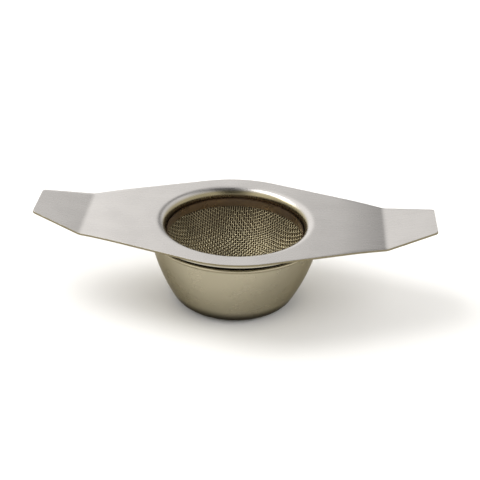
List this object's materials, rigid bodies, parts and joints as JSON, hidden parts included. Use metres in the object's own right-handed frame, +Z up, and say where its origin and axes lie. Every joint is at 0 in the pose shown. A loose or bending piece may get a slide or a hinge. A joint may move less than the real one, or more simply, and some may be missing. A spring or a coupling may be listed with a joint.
{
  "type": "tea strainer",
  "caption": "Two-handled steel tea strainer: a pressed plate with bent-up handles and a woven wire basket, standing on a small drip bowl.",
  "frame": {"origin": "on the bowl's axis, at the surface the bowl stands on", "axes": "+X along the two handles, +Y across them, +Z up"},
  "size_m": [0.16, 0.0756, 0.0385],
  "materials": {
    "plate_steel": "fine brushed stainless steel, light and slightly warm",
    "bowl_steel": "satin stainless steel, spun round the axis",
    "ring_steel": "satin stainless steel, darkened by use",
    "wire_mesh": "woven stainless wire, olive-gold in the shade"
  },
  "bodies": {
    "bowl": {"drip_bowl": "bowl_steel"},
    "strainer": {"strainer_plate": "plate_steel", "seat_ring": "ring_steel", "retaining_ring": "ring_steel", "mesh_basket": "wire_mesh"}
  },
  "joints": [
    {"name": "strainer_lift", "type": "slide", "parent": "bowl", "child": "strainer", "axis": [0, 0, 1], "range_m": [0, 0.06]}
  ]
}
